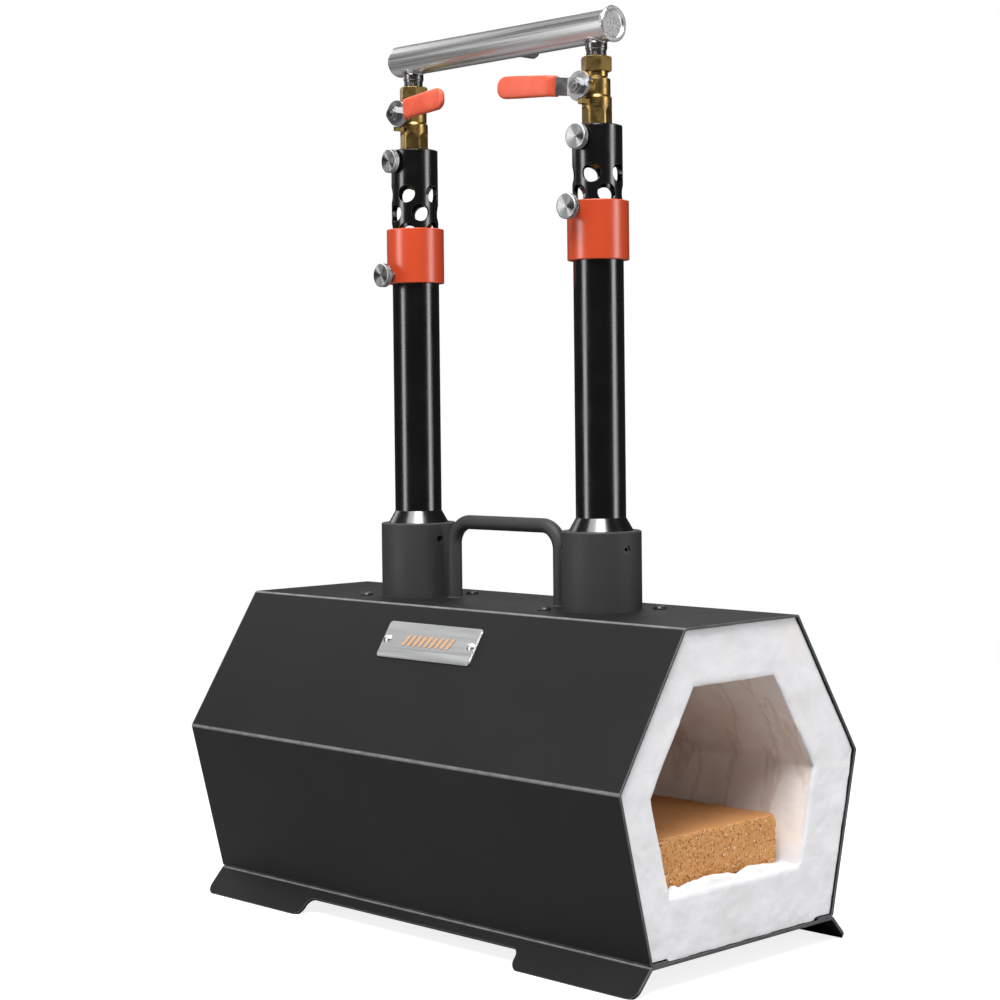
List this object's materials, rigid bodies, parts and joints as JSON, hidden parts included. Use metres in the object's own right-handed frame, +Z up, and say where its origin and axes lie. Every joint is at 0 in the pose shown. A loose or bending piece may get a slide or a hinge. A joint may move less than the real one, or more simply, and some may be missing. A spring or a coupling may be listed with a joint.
{
  "type": "gas forge",
  "caption": "Hexagonal sheet-steel gas forge with a wool-lined chamber, firebrick floor, upright burners with sliding choke rings, ball valves and a shared gas manifold.",
  "frame": {"origin": "on the ground, at the middle of the body", "axes": "+Z up, X along the body with +X at the mouth where the brick lies, -Y the side with the nameplate"},
  "size_m": [0.421, 0.2306, 0.6135],
  "materials": {
    "powder_coat": "satin black powder coat",
    "black_paint": "matt black paint",
    "satin_black": "satin black paint",
    "black_oxide": "black oxide",
    "ceramic_wool": "soft needled fibre",
    "firebrick": "dry, speckled",
    "plate_aluminium": "brushed",
    "stainless": "brushed",
    "turned_steel": "turned",
    "zinc_plate": "bright zinc plate",
    "choke_orange": "satin orange-red powder coat",
    "vinyl_orange": "dipped vinyl, semi-gloss",
    "brass": "cast and turned",
    "ball_chrome": "polished",
    "ptfe": "matt"
  },
  "bodies": {
    "root": {"shell": "powder_coat", "base_plate": "powder_coat", "base_screws": "black_oxide", "blanket_wrap": "ceramic_wool", "blanket_floor": "ceramic_wool", "nameplate": "plate_aluminium", "nameplate_rivets": "stainless", "carry_handle": "black_paint", "socket_left": "black_paint", "socket_right": "black_paint", "socket_flange_left": "black_paint", "socket_flange_right": "black_paint", "socket_screws": "black_oxide", "socket_set_screws": "black_oxide", "burner_flare_left": "satin_black", "burner_flare_right": "satin_black", "burner_tube_left": "satin_black", "burner_tube_right": "satin_black"},
    "brick": {"firebrick": "firebrick"},
    "gas_train": {"jet_holder_left": "black_oxide", "jet_holder_right": "black_oxide", "gas_jet_left": "brass", "gas_jet_right": "brass", "valve_body_left": "brass", "valve_body_right": "brass", "valve_cap_left": "brass", "valve_cap_right": "brass", "ball_seats_left": "ptfe", "ball_seats_right": "ptfe", "stem_packing_left": "ptfe", "stem_packing_right": "ptfe", "manifold_tube": "stainless", "manifold_plug": "stainless", "manifold_cap": "stainless", "manifold_nipple_left": "stainless", "manifold_nipple_right": "stainless", "inlet_nipple": "stainless"},
    "left_valve_lever": {"valve_ball_left": "ball_chrome", "valve_stem_left": "brass", "lever_left": "zinc_plate", "lever_nut_left": "turned_steel", "lever_sleeve_left": "vinyl_orange"},
    "left_choke": {"choke_ring_left": "choke_orange"},
    "left_choke_screw": {"choke_screw_left": "turned_steel"},
    "left_jet_screw": {"jet_screw_left": "turned_steel"},
    "right_valve_lever": {"valve_ball_right": "ball_chrome", "valve_stem_right": "brass", "lever_right": "zinc_plate", "lever_nut_right": "turned_steel", "lever_sleeve_right": "vinyl_orange"},
    "right_choke": {"choke_ring_right": "choke_orange"},
    "right_choke_screw": {"choke_screw_right": "turned_steel"},
    "right_jet_screw": {"jet_screw_right": "turned_steel"}
  },
  "joints": [
    {"name": "brick_slide", "type": "slide", "parent": "root", "child": "brick", "axis": [1, 0, 0], "range_m": [-0.14, 0.11]},
    {"name": "gas_train_lift", "type": "slide", "parent": "root", "child": "gas_train", "axis": [0, 0, 1], "range_m": [0, 0.01]},
    {"name": "left_valve_turn", "type": "hinge", "parent": "gas_train", "child": "left_valve_lever", "pos_m": [-0.09, -0.0162, 0.561], "axis": [0, -1, 0], "range_deg": [0, 86]},
    {"name": "left_choke_slide", "type": "slide", "parent": "root", "child": "left_choke", "axis": [0, 0, 1], "range_m": [-0.158, 0.0297]},
    {"name": "left_choke_screw_turn", "type": "hinge", "parent": "left_choke", "child": "left_choke_screw", "pos_m": [-0.09143, -0.02045, 0.4462], "axis": [-0.0698, -0.9976, 0], "range_deg": [0, 270]},
    {"name": "left_jet_screw_turn", "type": "hinge", "parent": "root", "child": "left_jet_screw", "pos_m": [-0.09204, -0.01658, 0.5278], "axis": [-0.1219, -0.9925, 0], "range_deg": [0, 270]},
    {"name": "right_valve_turn", "type": "hinge", "parent": "gas_train", "child": "right_valve_lever", "pos_m": [0.09, -0.0162, 0.561], "axis": [0, 1, 0], "range_deg": [0, 86]},
    {"name": "right_choke_slide", "type": "slide", "parent": "root", "child": "right_choke", "axis": [0, 0, 1], "range_m": [-0.165, 0.0228]},
    {"name": "right_choke_screw_turn", "type": "hinge", "parent": "right_choke", "child": "right_choke_screw", "pos_m": [0.09072, -0.02049, 0.4818], "axis": [0.0349, -0.9994, 0], "range_deg": [0, 270]},
    {"name": "right_jet_screw_turn", "type": "hinge", "parent": "root", "child": "right_jet_screw", "pos_m": [0.09116, -0.01666, 0.5278], "axis": [0.0698, -0.9976, 0], "range_deg": [0, 270]}
  ]
}
